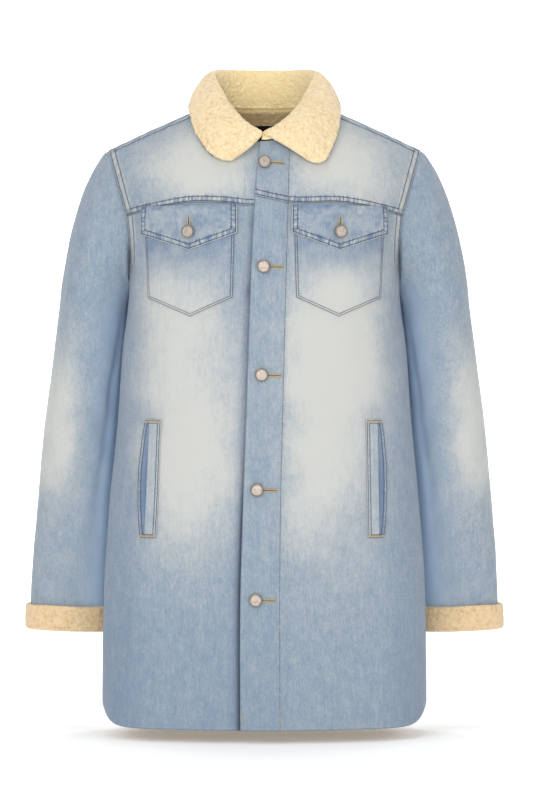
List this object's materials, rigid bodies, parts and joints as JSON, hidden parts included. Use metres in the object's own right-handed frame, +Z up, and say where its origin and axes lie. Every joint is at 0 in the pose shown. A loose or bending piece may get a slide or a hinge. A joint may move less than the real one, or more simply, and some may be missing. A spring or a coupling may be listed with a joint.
{
  "type": "sherpa lined denim jacket",
  "caption": "Longline denim jacket, buttoned and filled out as worn, with a sherpa collar and cuffs, pointed flap pockets and slanted welt pockets.",
  "frame": {"origin": "in the neck opening, on the centre line, level with the shoulders that carry the jacket", "axes": "+Z up, -Y to the front of the jacket, +X to the wearer's left"},
  "size_m": [0.6792, 0.2839, 0.9201],
  "materials": {
    "denim": "washed light blue denim, bleached at the yokes, down the fronts and at the elbows",
    "sherpa": "curly cream pile",
    "button_metal": "matt brushed shank button",
    "label": "plain black woven label"
  },
  "bodies": {
    "root": {"front_left": "denim", "front_right": "denim", "back": "denim", "sleeve_left": "denim", "sleeve_right": "denim", "under_collar": "denim", "pocket_left": "denim", "pocket_right": "denim", "flap_left": "denim", "flap_right": "denim", "welt_left": "denim", "welt_right": "denim", "yoke_front_left": "denim", "yoke_front_right": "denim", "collar": "sherpa", "cuff_left": "sherpa", "cuff_right": "sherpa", "back_neck_lining": "sherpa", "neck_label": "label", "button_1": "button_metal", "button_2": "button_metal", "button_3": "button_metal", "button_4": "button_metal", "button_5": "button_metal", "pocket_button_left": "button_metal", "pocket_button_right": "button_metal"}
  },
  "joints": []
}
